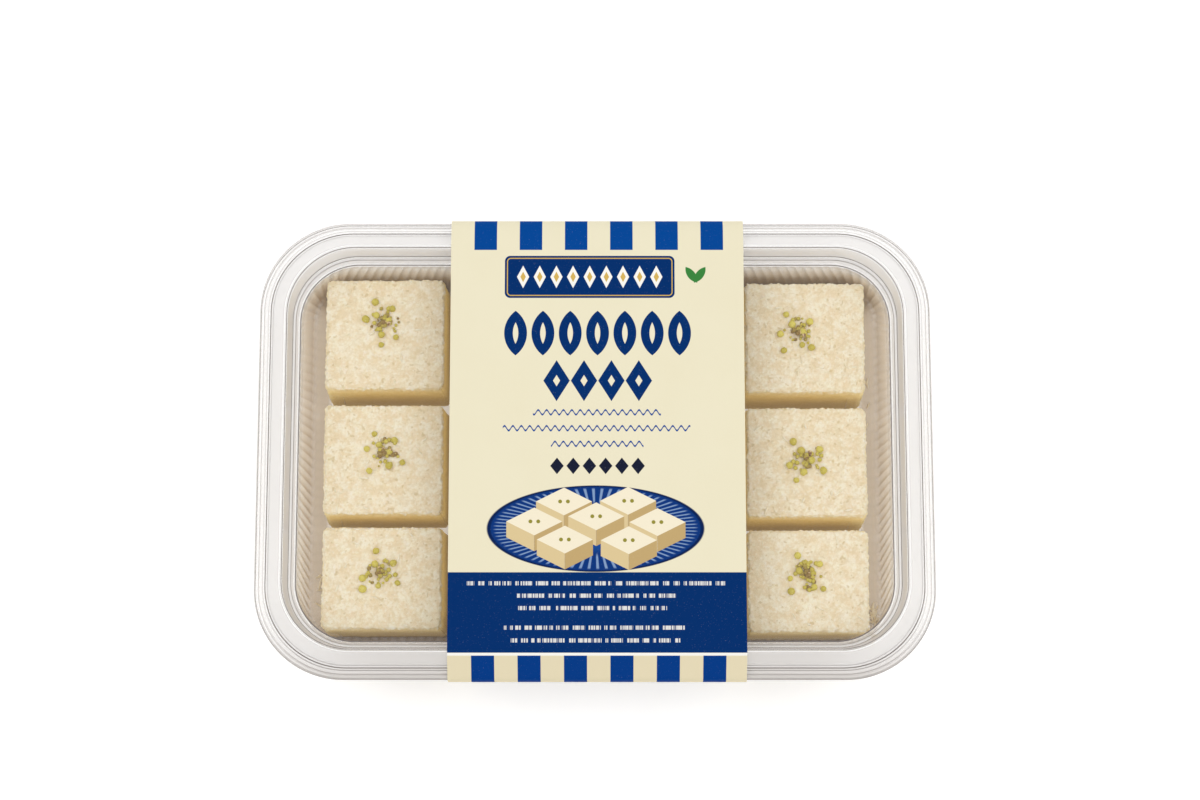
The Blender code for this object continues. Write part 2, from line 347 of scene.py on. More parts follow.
def clear_finish(name, rim_color, wall_reflection_and_shade, foot_shade_color, line_shade_color, edge_haze):
    """Clear plastic: see-through, with a gloss that grows at grazing angles, a faint haze and fine lines.

    The gloss is 0.035 + 0.9 * facing to the fifth. The haze is denser where the sheet is seen on edge, where
    it is cloudy and along its sharp bends. The walls carry a painted reflection of the sweets' tan and
    painted shade that browns towards their foot; the fine lines are painted dark lines along the bends and
    painted highlights.
    """
    material, root = new_finish(name)
    facing = root.node("LayerWeight", None, {"Blend": 0.5}, output=1)
    line = root.node("Attribute", {"attribute_name": "line"}, output=2)
    cloud = root.node("Attribute", {"attribute_name": "cloud"}, output=2)
    shade = root.node("Attribute", {"attribute_name": "shade"}, output=2)
    ripple = root.node("TexCoord", output=3).mottle(45, 2.0)
    bump = root.node("Bump", None, {"Strength": 0.05, "Distance": 0.001, "Height": ripple})
    see_through = root.node("BsdfTransparent", None, {0: (0.985, 0.985, 0.985, 1.0)})
    gloss = root.node("BsdfGlossy", None, {"Color": (1, 1, 1, 1), "Roughness": 0.07, "Normal": bump})
    shine = facing**5 * 0.9 + 0.035
    sheet = root.node("MixShader", None, {0: shine, 1: see_through, 2: gloss})
    # painted reflection: from the rim's grey towards the walls' tan, the sweets' colour that the walls would
    # reflect, as shade rises to 1
    tint = shade.at_most(1.0).at_least(0.0).blend(rim_color, wall_reflection_and_shade)
    # painted shade: from the walls' tan towards the foot's brown, as shade rises from 1 to 2
    tint = (shade - 1.0).at_most(1.0).at_least(0.0).blend(tint, foot_shade_color)
    # painted dark lines of shade along the bends, where line is over 0
    tint = line.rises(0.1, 0.7).blend(tint, line_shade_color)
    # painted highlights along the bends, where line is under 0
    tint = line.rises(-0.1, -0.7).blend(tint, (1.0, 1.0, 1.0, 1.0))
    film = root.node("BsdfPrincipled", None, {"Base Color": tint, "Roughness": 0.22, "Normal": bump})
    cover = (facing**3 * edge_haze + cloud + abs(line) * 1.1).at_most(0.95)
    root.node("OutputMaterial", None, {0: root.node("MixShader", None, {0: cover, 1: sheet, 2: film})})
    return material


tray_finish = clear_finish(
    "clear_tray_finish", rgb(228, 225, 223), rgb(220, 202, 174), rgb(126, 98, 54), rgb(104, 96, 90), 0.90
)
tray_rows = round_bends(np.array(TRAY_PROFILE), TRAY_BEND, BEND_POINTS)
tray = formed_sheet("tray_sheet", tray_rows, FLUTES, tray_finish)
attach(tray, "root")
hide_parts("tray")

# Lid: a thinner clear sheet. Its skirt grips the tray's flange, a hollow ridge runs round it to stiffen it,
# and its middle is sunk so that it lies just over the sweets.
LID_STEPS = (4, 6, 4)
LID_BEND = 0.24
LID_PROFILE = (
    # the same columns as the tray's
    (0.75, -3.10, 27.4, 0.0, 0.0, 0.18, 0.2, 1.2),
    (0.10, -3.20, 28.0, 0.0, 0.75, 0.20, 0.3, 1.2),
    (0.00, -2.20, 28.0, 0.0, 0.0, 0.20, 0.1, 1.2),
    (0.05, -0.70, 28.0, 0.0, 0.3, 0.20, 0.1, 1.2),
    (0.60, -0.12, 27.6, 0.0, 0.0, 0.20, 0.1, 1.1),
    (1.60, -0.02, 26.8, 0.0, 0.25, 0.20, 0.1, 0.9),
    (2.80, 0.00, 25.9, 0.0, 0.35, 0.20, 0.1, 0.6),
    (3.55, -0.30, 25.4, 0.0, 1.0, 0.20, 0.1, 0.4),
    (4.30, 0.10, 24.8, 0.0, 0.4, 0.44, 0.0, 0.1),
    (7.80, 3.70, 22.1, 0.0, 0.0, 0.44, 0.0, 0.0),
    (8.20, 4.00, 21.8, 0.0, -0.7, 0.30, 0.0, 0.0),
    (8.95, 4.00, 21.2, 0.0, 0.8, 0.28, 0.2, 0.0),
    (9.25, 3.60, 21.0, 0.0, 0.0, 0.32, 0.2, 0.0),
    (10.05, -3.40, 20.4, 0.0, 0.9, 0.32, 0.2, 0.0),
    (10.60, -3.80, 20.0, 0.0, -0.3, 0.34, 0.2, 0.0),
    (11.05, -4.20, 19.6, 0.0, 0.8, 0.34, 0.2, 0.0),
    (11.60, -5.90, 19.1, 0.0, 0.0, 0.34, 0.2, 0.0),
    (12.25, -6.00, 18.5, 0.0, 1.0, 0.14, 0.5, 0.0),
    (13.20, -5.85, 17.8, 0.0, 0.1, 0.02, 0.0, 0.0),
    (14.20, -6.00, 17.0, 0.0, 0.0, 0.02, 0.0, 0.0),
    (17.00, -6.00, 14.5, 0.0, 0.0, 0.02, 0.0, 0.0),
)

lid_finish = clear_finish(
    "clear_lid_finish", rgb(222, 218, 216), rgb(204, 198, 193), rgb(150, 144, 138), rgb(112, 104, 100), 0.55
)
lid_rows = round_bends(np.array(LID_PROFILE), LID_BEND, BEND_POINTS)
lid = formed_sheet("lid_sheet", lid_rows, LID_STEPS, lid_finish)
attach(lid, "root")
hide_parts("lid")

# Sweets: twelve blocks of barfi, coconut cooked with milk and sugar, set in a slab and cut by hand.
# The cut faces are grainy with shreds of coconut, and turn golden towards the foot, darkened there with
# painted shade; a painted glow stands in for the light that passes between them.
COLUMN_EDGES = ((-85.0, -47.6), (-41.4, -3.6), (3.4, 41.2), (47.4, 85.1))
ROW_EDGES = ((19.6, 55.0), (-20.0, 14.6), (-56.0, -24.2))
COLUMN_SHIFT = (0.45, 0.2, -0.2, -0.5)
SWEET_HEIGHT = 22.6
UNEVEN = 0.5
SWEET_EDGE = 0.8
SWEET_CORNER = 1.7
SWEET_DRAFT = math.tan(math.radians(3.0))
# past these x and y a face stands against the tray's wall, and doesn't flare
HELD_UPRIGHT = (80.0, 50.0)
EDGE_GRID = 0.2
EDGE_LINES = 7
FINE_GRID = 0.32
PLAIN_GRID = 0.62
# grain: size and share of the coarse and the fine one, then how far it stands out on the top, on the sides
# and along the edges, where the block also crumbles
GRAIN_SIZES = ((1.5, 0.55), (0.9, 0.45))
GRAIN_MIDDLE = 0.45
GRAIN_TOP, GRAIN_SIDE, GRAIN_EDGE = 0.11, 0.13, 0.30
CRUMBLE_SIZES = ((0.8, 0.6), (1.6, 0.4))
CRUMBLE_EDGE = 0.46
FRAYED_DEPTH = 4.5
LUMP_SIZE, LUMP_HEIGHT = 6.0, 0.12
PIT_SIZE, PIT_START, PIT_DEPTH = 0.7, 0.60, 0.50
FOOT_BAND, FOOT_CALM = 0.5, 0.2
# the front faces of the last row, between this y and the next, stand in the shade of the tray's wall
FRONT_FACES = (-0.0500, -0.0515)


def cell_number(cell, salt):
    """A number from 0 to 1 for each cell of a lattice: its whole coordinates and a salt, multiplied by large
    primes, mixed and cut to 24 bits."""
    x, y, z = [cell[..., axis].astype(np.int64).astype(np.uint64) for axis in range(3)]
    mixed = x * np.uint64(73856093) ^ y * np.uint64(19349663) ^ z * np.uint64(83492791)
    mixed = (mixed ^ np.uint64(salt * 2654435761)) * np.uint64(0x9E3779B97F4A7C15)
    mixed = (mixed ^ (mixed >> np.uint64(29))) * np.uint64(0xBF58476D1CE4E5B9)
    return ((mixed >> np.uint64(40)) & np.uint64(0xFFFFFF)).astype(float) / 0xFFFFFF


def soft_noise(points, size, salt):
    """Smooth noise from -1 to 1: the numbers of a cell's eight corners, blended with smooth steps."""
    spot = points / size
    base = np.floor(spot)
    t = spot - base
    t = t * t * (3 - 2 * t)
    total = np.zeros(len(points))
    for corner in np.ndindex(2, 2, 2):
        weight = np.prod(np.where(np.array(corner) == 1, t, 1 - t), axis=1)
        total += weight * cell_number(base + corner, salt)
    return 2 * total - 1


def shred_relief(points, size, salt):
    """How high the coconut shreds stand, 0 to 1: one shred a cell, a capsule with a random middle and
    direction; a point's height is 1 - (distance to the nearest shred's core / its radius) squared."""
    base = np.floor(points / size)
    best = np.zeros(len(points))
    for step in np.ndindex(3, 3, 3):
        cell = base + np.array(step) - 1
        middle = cell + np.stack([cell_number(cell, salt + k) for k in range(3)], axis=-1)
        lean = np.stack([cell_number(cell, salt + 3 + k) for k in range(3)], axis=-1) - 0.5
        lean /= np.linalg.norm(lean, axis=1, keepdims=True) + 1e-9
        reach = 0.05 + 0.35 * cell_number(cell, salt + 6)
        gap = points / size - middle
        along = np.clip(np.sum(gap * lean, axis=1), -reach, reach)
        off = np.linalg.norm(gap - along[:, None] * lean, axis=1)
        radius = 0.30 + 0.22 * cell_number(cell, salt + 7)
        best = np.maximum(best, 1 - (off / radius) ** 2)
    return best


def block_grid(half, spacing):
    """The six faces of a box as grids with shared, merged edges: points and quads that face outwards."""
    lines = []
    for h in half:
        inner = h - EDGE_LINES * EDGE_GRID
        fine = inner + EDGE_GRID * np.arange(1, EDGE_LINES + 1)
        middle = np.linspace(-inner, inner, round(2 * inner / spacing) + 1)
        lines.append(np.concatenate([-fine[::-1], middle, fine]))
    verts, quads, first = [], [], 0
    for axis in range(3):
        u_axis, v_axis = (axis + 1) % 3, (axis + 2) % 3
        u, v = np.meshgrid(lines[u_axis], lines[v_axis], indexing="ij")
        number = first + np.arange(u.size).reshape(u.shape)
        ring = [number[:-1, :-1], number[1:, :-1], number[1:, 1:], number[:-1, 1:]]
        for side in (-1, 1):
            face = np.empty((u.size, 3))
            face[:, axis], face[:, u_axis], face[:, v_axis] = side * half[axis], u.ravel(), v.ravel()
            verts.append(face)
            order = ring if side > 0 else ring[::-1]
            quads.append(np.stack(order, axis=-1).reshape(-1, 4) + (0 if side < 0 else u.size))
        first += 2 * u.size
    verts, quads = np.concatenate(verts), np.concatenate(quads)
    merged, same = np.unique(verts.round(6), axis=0, return_inverse=True)
    return merged, same.ravel()[quads]


def barfi_block(half, centre, spacing, salt):
    """A hand-cut block. The box is pulled onto the rounded box of the same size, its upright edges onto
    quarter circles, each by direction times the larger of the two offsets; it flares towards its foot as the
    knife leaves it, and is pushed in and out along its normal by lumps, grains and pits. The middle one of
    the normal's sizes is 0 in a face and largest on an edge, which says where the edges are."""
    points, quads = block_grid(half, spacing)
    core = np.clip(points, -half + SWEET_EDGE, half - SWEET_EDGE)
    normal = points - core
    normal /= np.linalg.norm(normal, axis=1, keepdims=True)
    edge = np.sort(np.abs(normal), axis=1)[:, 1] * 1.41
    block = core + normal * SWEET_EDGE
    hub = np.clip(block[:, :2], SWEET_CORNER - half[:2], half[:2] - SWEET_CORNER)
    away = block[:, :2] - hub
    heading = away / (np.linalg.norm(away, axis=1, keepdims=True) + 1e-9)
    block[:, :2] = hub + heading * np.abs(away).max(axis=1, keepdims=True)
    normal[:, :2] = heading * np.linalg.norm(normal[:, :2], axis=1, keepdims=True)
    for axis, wall in enumerate(HELD_UPRIGHT):
        free = np.abs(centre[axis] + block[:, axis]) < wall
        flare = SWEET_DRAFT * (half[2] - block[:, 2])
        block[:, axis] += np.where(free, flare * block[:, axis] / half[axis], 0)
    spot = block + centre
    (coarse, coarse_share), (fine, fine_share) = GRAIN_SIZES
    grains = shred_relief(spot, coarse, salt) * coarse_share
    grains += shred_relief(spot, fine, salt + 20) * fine_share
    (small, small_share), (large, large_share) = CRUMBLE_SIZES
    crumble = soft_noise(spot, small, salt + 41) * small_share
    crumble += soft_noise(spot, large, salt + 42) * large_share
    lumps = soft_noise(spot, LUMP_SIZE, salt + 43)
    pits = np.clip(soft_noise(spot, PIT_SIZE, salt + 44) - PIT_START, 0, 1)
    side = np.linalg.norm(normal[:, :2], axis=1)
    frayed = side * np.clip(1 - (half[2] - block[:, 2]) / FRAYED_DEPTH, 0, 1)
    grain_height = GRAIN_TOP + GRAIN_SIDE * side
    height = grain_height * (grains - GRAIN_MIDDLE) + LUMP_HEIGHT * lumps - PIT_DEPTH * pits
    height += np.maximum(edge, frayed) * (GRAIN_EDGE * (grains - GRAIN_MIDDLE) + CRUMBLE_EDGE * crumble)
    height *= np.where(block[:, 2] < -half[2] + FOOT_BAND, FOOT_CALM, 1.0)
    block += normal * height[:, None]
    block[:, 2] = np.maximum(block[:, 2], -half[2])
    relief = np.clip(0.5 + 0.6 * (grains - GRAIN_MIDDLE) - pits, 0, 1)
    return block + centre, quads, relief


barfi_finish, root = new_finish("barfi_finish")
place = root.node("TexCoord", output=3)
normal_z = root.node("NewGeometry", output=1).split()[2]
relief = root.node("Attribute", {"attribute_name": "relief"}, output=2)
foot = root.node("Attribute", {"attribute_name": "foot"}, output=2)
clouds = place.mottle(300, 3.0)
flecks = place.mottle(640, 1.0, 0.5)
specks = place.mottle(1100, 2.0, 0.6)
cream = clouds.rises(0.36, 0.64).blend(rgb(240, 221, 184), rgb(249, 238, 212))
cream = (specks.rises(0.52, 0.68) * 0.55).blend(cream, rgb(253, 246, 228))
cream = (specks.rises(0.46, 0.30) * 0.60).blend(cream, rgb(232, 213, 170))
cream = (flecks.rises(0.65, 0.72) * 0.55).blend(cream, rgb(206, 182, 124))
# painted shade in the grain's hollows, where the relief is low
cream = (relief.rises(0.40, 0.10) * 0.5).blend(cream, rgb(222, 202, 156))
golden = clouds.rises(0.3, 0.7).blend(rgb(222, 201, 142), rgb(232, 211, 154))
# painted shade: the sides darken towards the foot
golden = foot.rises(0.05, 0.80).blend(golden, rgb(184, 159, 100))
# painted light: an emission that stands in for the light that the sweets pass on to each other across their
# narrow gaps, with painted shade towards the foot
painted_bounce_light = foot.rises(0.10, 0.95).blend(rgb(214, 188, 108), rgb(160, 132, 70))
# painted shade on the front faces of the last row, next to the tray's wall
shaded = place.split()[1].rises(*FRONT_FACES) * foot.rises(0.0, 0.6) * 0.6
golden = shaded.blend(golden, rgb(168, 140, 90))
painted_bounce_light = shaded.blend(painted_bounce_light, rgb(150, 116, 62))
upright = 1 - abs(normal_z).rises(0.30, 0.80)
# the share of the side colour: golden, and more of it towards the foot, where it carries painted shade
side_gold_and_shade = upright * (foot.rises(0.0, 0.22) * 0.45 + 0.50)
barfi_color = side_gold_and_shade.blend(cream, golden)
# painted light: the sides glow with the painted bounce light
glow = side_gold_and_shade.blend((0.0, 0.0, 0.0, 1.0), painted_bounce_light)
fine_bump = root.node("Bump", None, {"Strength": 0.28, "Distance": 0.0002, "Height": specks})
shader = root.node("BsdfPrincipled", None, {
    "Base Color": barfi_color, "Roughness": 0.72, "Normal": fine_bump,
    "Subsurface Weight": 0.30, "Subsurface Radius": (1.0, 0.84, 0.50), "Subsurface Scale": 0.004,
    "Emission Color": glow, "Emission Strength": 0.22,
})
root.node("OutputMaterial", None, {0: shader})

CLEAR = 0.3
SWEETS_FOOT = TRAY_FLOOR / MM + CLEAR
sweets = {}
for row, (front, back) in enumerate(ROW_EDGES, 1):
    for column, (left, right) in enumerate(COLUMN_EDGES, 1):
        salt = 10 * row + column
        draw = random.Random(salt)
        tall = SWEET_HEIGHT + draw.uniform(-UNEVEN, UNEVEN)
        half = np.array([right - left, back - front, tall]) / 2
        middle = (front + back) / 2 + COLUMN_SHIFT[column - 1]
        centre = np.array([(left + right) / 2, middle, SWEETS_FOOT + tall / 2])
        spacing = FINE_GRID if column in (1, 4) else PLAIN_GRID
        verts, quads, relief_values = barfi_block(half, centre, spacing, 100 * salt)
        block = new_piece(f"barfi_block_r{row}_c{column}", verts * MM, quads, barfi_finish)
        foot_values = 1 - (verts[:, 2] - SWEETS_FOOT) / tall
        block.data.attributes.new("relief", "FLOAT", "POINT").data.foreach_set("value", relief_values)
        block.data.attributes.new("foot", "FLOAT", "POINT").data.foreach_set("value", foot_values)
        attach(block, "root")
        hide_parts(f"barfi_r{row}_c{column}")
        sweets[row, column] = (centre, SWEETS_FOOT + tall, draw)

# Pistachio: chopped green kernels, sprinkled in a star on each sweet and pressed in a little.
# Eight larger crumbs spread like a sunflower's seeds; smaller and browner ones fill the middle of the star.
STAR_PLACES = (
    # each star's middle, measured from its sweet's middle
    ((-0.5, 4.1), (0.6, 1.8), (-0.8, 2.2), (-2.0, 1.7)),
    ((0.4, 2.1), (-0.9, 1.2), (1.0, 0.5), (0.0, 1.0)),
    ((-0.5, 1.8), (0.7, 1.5), (-0.3, 0.9), (0.0, 1.9)),
)
CRUMBS = 8
CRUMB_RADIUS = (0.85, 1.25)
CRUMB_SPREAD = 7.8
CRUMB_SINK = 0.35
CRUMB_TURN = math.radians(137.5)
CRUMB_SWAY = 0.4
SMALL_CRUMBS = 46
SMALL_RADIUS = (0.35, 0.80)
SMALL_SPREAD = 4.8
HEAP_HEIGHT, HEAP_RADIUS = 0.8, 2.5
BROWN_RADIUS = 3.5


def sphere_net(subdivisions):
    """The points and triangles of a unit sphere made of near-equal triangles."""
    bm = bmesh.new()
    bmesh.ops.create_icosphere(bm, subdivisions=subdivisions, radius=1.0)
    points = np.array([vert.co[:] for vert in bm.verts])
    faces = np.array([[vert.index for vert in face.verts] for face in bm.faces])
    bm.free()
    return points, faces


def crumb_heap(spots, radii, net, salt):
    """Many crumbs at once: the sphere's points, pushed in and out by noise, scaled and set on each spot."""
    points, faces = net
    lumpy = np.repeat(points[None], len(spots), axis=0)
    shifted = (lumpy + np.arange(len(spots))[:, None, None] * 7.7).reshape(-1, 3)
    push = 1 + 0.13 * soft_noise(shifted, 0.9, salt) + 0.06 * soft_noise(shifted, 0.4, salt + 1)
    lumpy = lumpy * push.reshape(len(spots), -1, 1) * radii[:, None, None]
    verts = (lumpy + spots[:, None, :]).reshape(-1, 3)
    numbers = np.arange(len(spots))[:, None, None] * len(points) + faces[None]
    return verts, numbers.reshape(-1, 3)


stars = []
large_spots, large_radii = [], []
small_spots, small_radii, small_reaches = [], [], []
for (row, column), (centre, top, draw) in sweets.items():
    star = centre[:2] + STAR_PLACES[row - 1][column - 1]
    stars.append((star, top, draw))
    for index in range(CRUMBS):
        radius = draw.uniform(*CRUMB_RADIUS)
        angle = CRUMB_TURN * index + draw.uniform(-CRUMB_SWAY, CRUMB_SWAY)
        reach = CRUMB_SPREAD * math.sqrt((index + 0.3) / CRUMBS)
        spot = star + reach * np.array([math.cos(angle), math.sin(angle)])
        large_spots.append((*spot, top + radius * (1 - 2 * CRUMB_SINK)))
        large_radii.append(radius)
    for _ in range(SMALL_CRUMBS):
        radius = draw.uniform(*SMALL_RADIUS)
        angle = draw.uniform(0, 2 * math.pi)
        reach = SMALL_SPREAD * draw.random() ** 1.1
        small_reaches.append(reach)
        spot = star + reach * np.array([math.cos(angle), math.sin(angle)])
        heap = HEAP_HEIGHT * max(0.0, 1 - reach / HEAP_RADIUS)
        small_spots.append((*spot, top + radius * CRUMB_SINK + heap))
        small_radii.append(radius)

crumb_finish, root = new_finish("pistachio_finish")
place = root.node("TexCoord", output=3)
tone = root.node("Attribute", {"attribute_name": "tone"}, output=2)
flecks = place.mottle(1300, 3.0, 0.6)
green = tone.rises(0.0, 0.35).blend(rgb(144, 112, 42), rgb(200, 184, 62))
green = tone.rises(0.5, 1.0).blend(green, rgb(220, 206, 88))
green = flecks.rises(0.58, 0.75).blend(green, rgb(236, 222, 140))
green = flecks.rises(0.36, 0.20).blend(green, rgb(140, 112, 44))
crumb_bump = root.node("Bump", None, {"Strength": 0.5, "Distance": 0.0002, "Height": flecks})
shader = root.node("BsdfPrincipled", None, {
    "Base Color": green, "Roughness": 0.55, "Normal": crumb_bump,
    "Subsurface Weight": 0.1, "Subsurface Radius": (0.9, 0.8, 0.3), "Subsurface Scale": 0.0008,
})
root.node("OutputMaterial", None, {0: shader})

large = crumb_heap(np.array(large_spots), np.array(large_radii), sphere_net(3), 7)
small = crumb_heap(np.array(small_spots), np.array(small_radii), sphere_net(2), 9)
verts = np.concatenate([large[0], small[0]])
faces = np.concatenate([large[1], small[1] + len(large[0])])
crumbs = new_piece("pistachio_crumbs", verts * MM, faces, crumb_finish)
tones = np.random.default_rng(5).random(len(large_spots) + len(small_spots))
tones[: len(large_spots)] = 0.35 + 0.65 * tones[: len(large_spots)]
tones[len(large_spots) :] *= np.clip(np.array(small_reaches) / BROWN_RADIUS, 0.05, 0.8)
sizes = [len(large[0]) // len(large_spots)] * len(large_spots)
sizes += [len(small[0]) // len(small_spots)] * len(small_spots)
tone_values = np.repeat(tones, sizes)
crumbs.data.attributes.new("tone", "FLOAT", "POINT").data.foreach_set("value", tone_values)
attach(crumbs, "root")

# Almond: a few brown-skinned chopped bits in the middle of each star, laid on the crumbs.
# Their cut sides are pale and their skin is brown.
ALMOND_BITS = 5
ALMOND_PLACE = (0.5, 0.3)
ALMOND_SPREAD = 1.9
ALMOND_RADIUS = (0.45, 0.8)
ALMOND_LIFT = 0.55

almond_spots, almond_radii = [], []
for star, top, draw in stars:
    for _ in range(ALMOND_BITS):
        angle, reach = draw.uniform(0, 2 * math.pi), ALMOND_SPREAD * draw.random()
        spot = star + ALMOND_PLACE + reach * np.array([math.cos(angle), math.sin(angle)])
        almond_spots.append((*spot, top + ALMOND_LIFT))
        almond_radii.append(draw.uniform(*ALMOND_RADIUS))

almond_finish, root = new_finish("almond_finish")
skin = root.node("TexCoord", output=3).mottle(900, 2.0)
almond_color = skin.rises(0.44, 0.56).blend(rgb(134, 96, 52), rgb(224, 196, 150))
shader = root.node("BsdfPrincipled", None, {"Base Color": almond_color, "Roughness": 0.6})
root.node("OutputMaterial", None, {0: shader})
verts, faces = crumb_heap(np.array(almond_spots), np.array(almond_radii), sphere_net(2), 21)
almonds = new_piece("almond_bits", verts * MM, faces, almond_finish)
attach(almonds, "root")

# Coconut: loose shreds that fell off while the sweets were packed, on the tray's floor and on the sweets.
# Each is a spindle with a slight bend.
SHREDS_ON_TOP = 10
TOP_REACH = 16.0
FLOOR_SHREDS = (
    # x and y of the middle, reach along y, and how many
    (88.8, -48.5, 3.0, 26), (88.2, -56.0, 2.0, 6), (-88.2, -40.0, 6.0, 6), (87.8, 20.0, 9.0, 5),
)
SHRED_LENGTH = (1.4, 3.4)
SHRED_RADIUS = (0.20, 0.36)
SHRED_BEND = 0.12
TIP_RISE = 0.04
TOP_LIFT, FLOOR_LIFT = 0.02, 0.25


def shred_heap(spots, turns, lengths, radii, bends, net):
    """Many shreds at once: the sphere's points, scaled to a spindle, moved sideways by bend * x squared and
    up by TIP_RISE * x squared, turned about Z and set on each spot."""
    points, faces = net
    x = points[None, :, 0] * lengths[:, None] / 2
    y = points[None, :, 1] * radii[:, None] + bends[:, None] * x**2
    z = points[None, :, 2] * radii[:, None] + TIP_RISE * x**2
    cos, sin = np.cos(turns)[:, None], np.sin(turns)[:, None]
    verts = np.stack([x * cos - y * sin, x * sin + y * cos, z], axis=-1) + spots[:, None]
    numbers = np.arange(len(spots))[:, None, None] * len(points) + faces[None]
    return verts.reshape(-1, 3), numbers.reshape(-1, 3)


scatter = np.random.default_rng(11)
shred_spots = []
for (_, column), (centre, top, _) in sweets.items():
    if column in (1, 4):
        offsets = scatter.uniform(-TOP_REACH, TOP_REACH, (SHREDS_ON_TOP, 2))
        shred_spots.extend((*(centre[:2] + offset), top + TOP_LIFT) for offset in offsets)
for x, y, reach, count in FLOOR_SHREDS:
    for offset in scatter.uniform(-1, 1, (count, 2)):
        shred_spots.append((x + offset[0], y + reach * offset[1], SWEETS_FOOT + FLOOR_LIFT))
total = len(shred_spots)
shred_finish, root = new_finish("coconut_finish")
pale = root.node("TexCoord", output=3).mottle(500, 2.0)
shader = root.node("BsdfPrincipled", None, {
    "Base Color": pale.rises(0.35, 0.65).blend(rgb(240, 226, 192), rgb(250, 241, 218)), "Roughness": 0.6,
})
root.node("OutputMaterial", None, {0: shader})
verts, faces = shred_heap(
    np.array(shred_spots), scatter.uniform(0, math.pi, total), scatter.uniform(*SHRED_LENGTH, total),
    scatter.uniform(*SHRED_RADIUS, total), scatter.uniform(-SHRED_BEND, SHRED_BEND, total), sphere_net(2),
)
shreds = new_piece("coconut_shreds", verts * MM, faces, shred_finish)
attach(shreds, "root")

# Sleeve: one band of coated white card, printed, wrapped over the lid and under the tray and glued below.
# It is creased at the front of the ridge and rolls over the rim at the back.
CARD = 0.4
SLEEVE_MIDDLE = 0.7
SLEEVE_HALF_WIDTH = 45.7
SLEEVE_FOOT = 57.5
SLACK = 0.1
RIM = HALF_DEPTH / MM + SLACK
RIM_HEIGHT = FLANGE / MM
SLEEVE_TOP = RIM_HEIGHT + RIDGE_HEIGHT + CLEAR
PATH_STEP = 0.45
CURVE_POINTS = 25
CARD_COLUMNS = 24
SLEEVE_BENDS = (
    # y, z and the length that its bend takes from each side
    (0.0, CARD, 0.0),
    (-SLEEVE_FOOT, CARD, 1.2),
    (-RIM - 0.1, RIM_HEIGHT - 3.2, 1.0),
    (-RIM, RIM_HEIGHT + 0.1, 0.9),
    (-64.4, SLEEVE_TOP, 0.8),
    (0.0, SLEEVE_TOP, 0.0),
    (RIM - 0.8, SLEEVE_TOP, 8.0),
    (RIM, RIM_HEIGHT - 0.8, 2.4),
    (RIM + 0.1, RIM_HEIGHT - 3.2, 1.0),
    (SLEEVE_FOOT, CARD, 1.2),
    (0.0, CARD, 0.0),
)


def smooth_path(bends, step):
    """Even points along a line whose bends are quadratic curves of the given reach on each side."""
    parts = []
    for index, (y, z, reach) in enumerate(bends):
        bend = np.array([y, z])
        if reach == 0:
            parts.append(bend[None])
            continue
        sides = []
        for other in (index - 1, index + 1):
            line = np.array(bends[other][:2]) - bend
            sides.append(bend + line * min(reach / np.hypot(*line), 0.5))
        t = np.linspace(0, 1, CURVE_POINTS)[:, None]
        parts.append((1 - t) ** 2 * sides[0] + 2 * t * (1 - t) * bend + t**2 * sides[1])
    points = np.concatenate(parts)
    far = np.r_[0, np.cumsum(np.hypot(*np.diff(points, axis=0).T))]
    even = np.linspace(0, far[-1], round(far[-1] / step) + 1)
    return np.stack([np.interp(even, far, points[:, axis]) for axis in range(2)], axis=-1)


def card_band(path, half_width, middle, across):
    """A closed band of card: the path is its inner face, its outer face lies CARD further out along the
    path's normal, and both run across X. The UV map is X and the length along the path from the top's
    middle, in millimetres. Faces are numbered 0 printed, 1 cut edge and 2 plain back of the card."""
    ahead = np.roll(path, -1, axis=0) - np.roll(path, 1, axis=0)
    out = np.stack([-ahead[:, 1], ahead[:, 0]], axis=-1)
    out /= np.linalg.norm(out, axis=1, keepdims=True)
    steps = np.hypot(*(np.roll(path, -1, axis=0) - path).T)
    far = np.r_[0, np.cumsum(steps)]
    # the nearest to the middle among the points of the flat top
    top = np.argmin(np.abs(path[:, 0]) - 100 * (path[:, 1] > SLEEVE_TOP - 0.01))
    far -= far[top]
    rows, columns = len(path), across + 1
    x = middle + np.linspace(-half_width, half_width, columns)
    verts = np.empty((2, rows, columns, 3))
    verts[..., 0] = x
    verts[0, ..., 1:], verts[1, ..., 1:] = path[:, None], (path + out * CARD)[:, None]
    row, column = np.mgrid[0:rows, 0:across]
    after = (row + 1) % rows
    wall = np.stack([row * columns + column, row * columns + column + 1,
                     after * columns + column + 1, after * columns + column], axis=-1).reshape(-1, 4)
    shift = rows * columns
    row, after = np.arange(rows), (np.arange(rows) + 1) % rows
    left = np.stack([row * columns, after * columns, after * columns + shift, row * columns + shift], -1)
    right = left[:, ::-1] + across
    quads = np.concatenate([wall + shift, wall[:, ::-1], left, right])
    kinds = np.repeat([0, 2, 1, 1], [len(wall), len(wall), rows, rows])
    u = np.stack([x[:-1], x[1:], x[1:], x[:-1]], axis=-1)
    u = np.broadcast_to(u, (rows, across, 4)).reshape(-1, 4)
    v = np.stack([far[:-1], far[:-1], far[1:], far[1:]], axis=-1)
    v = np.repeat(v, across, axis=0)
    sheet = np.stack([u, v], axis=-1)
    rim = np.zeros((2 * rows, 4, 2))
    uv = np.concatenate([sheet, sheet[:, ::-1], rim])
    return verts.reshape(-1, 3), quads, kinds, uv


cream, blue, navy = rgb(240, 232, 205), rgb(0, 70, 150), rgb(0, 47, 108)
gold, white, leaf, ink = rgb(214, 178, 92), rgb(250, 248, 242), rgb(58, 132, 62), rgb(24, 30, 52)
BLUR = 0.06


def overlap(*values):
    """The largest of several signed distances, which is the distance to the overlap of their shapes."""
    largest = values[0]
    for value in values[1:]:
        largest = largest.at_least(value)
    return largest


